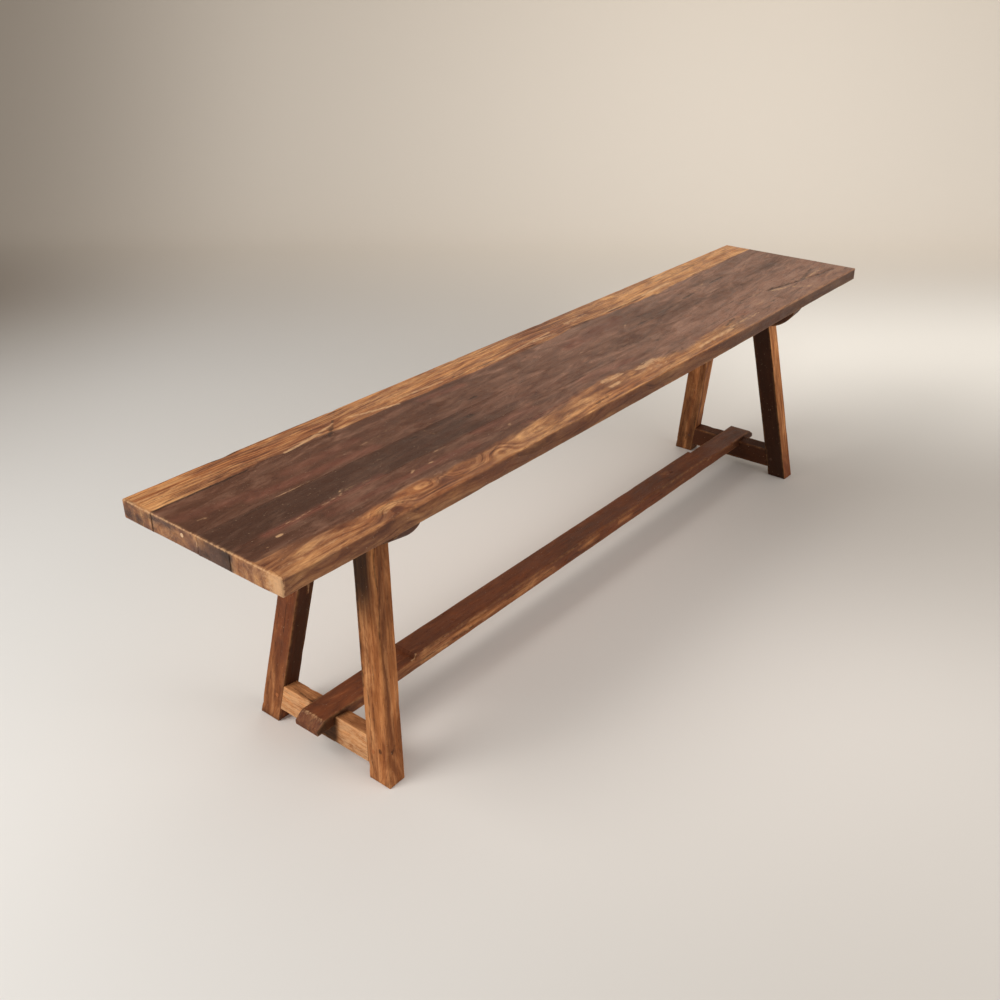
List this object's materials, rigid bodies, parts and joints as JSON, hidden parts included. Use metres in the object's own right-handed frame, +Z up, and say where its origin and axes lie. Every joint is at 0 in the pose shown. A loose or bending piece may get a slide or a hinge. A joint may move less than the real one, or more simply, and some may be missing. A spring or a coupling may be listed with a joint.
{
  "type": "trestle bench",
  "caption": "Long backless teak bench: edge-joined plank seat on two leaning trestles with splayed legs, tied near the floor by a stretcher lapped over the foot rails.",
  "frame": {"origin": "on the floor under the middle of the seat", "axes": "+Z up, +X along the bench to the far trestle, -Y to the front edge of the seat"},
  "size_m": [1.65, 0.318, 0.45],
  "materials": {
    "golden_teak": "worn oil, golden sapwood",
    "brown_teak": "worn oil, dark brown heartwood",
    "orange_teak": "worn oil, orange brown",
    "dark_teak": "worn oil, dark brown",
    "peg_wood": "bare pale wood",
    "screw_steel": "plain steel"
  },
  "bodies": {
    "root": {"rear_board": "golden_teak", "rear_middle_board": "brown_teak", "front_middle_board": "brown_teak", "front_board": "golden_teak", "rear_tongue": "peg_wood", "middle_tongue": "peg_wood", "front_tongue": "peg_wood", "end_pin": "peg_wood", "near_bearer": "dark_teak", "far_bearer": "dark_teak", "near_front_leg": "orange_teak", "near_back_leg": "orange_teak", "far_front_leg": "orange_teak", "far_back_leg": "orange_teak", "near_rail": "orange_teak", "far_rail": "orange_teak", "stretcher": "dark_teak", "near_front_bearer_peg": "peg_wood", "near_front_rail_peg": "peg_wood", "near_back_bearer_peg": "peg_wood", "near_back_rail_peg": "peg_wood", "far_front_bearer_peg": "peg_wood", "far_front_rail_peg": "peg_wood", "far_back_bearer_peg": "peg_wood", "far_back_rail_peg": "peg_wood", "near_seat_screw_1": "screw_steel", "near_seat_screw_2": "screw_steel", "near_seat_screw_3": "screw_steel", "near_seat_screw_4": "screw_steel", "far_seat_screw_1": "screw_steel", "far_seat_screw_2": "screw_steel", "far_seat_screw_3": "screw_steel", "far_seat_screw_4": "screw_steel", "near_lap_screw": "screw_steel", "far_lap_screw": "screw_steel"}
  },
  "joints": []
}
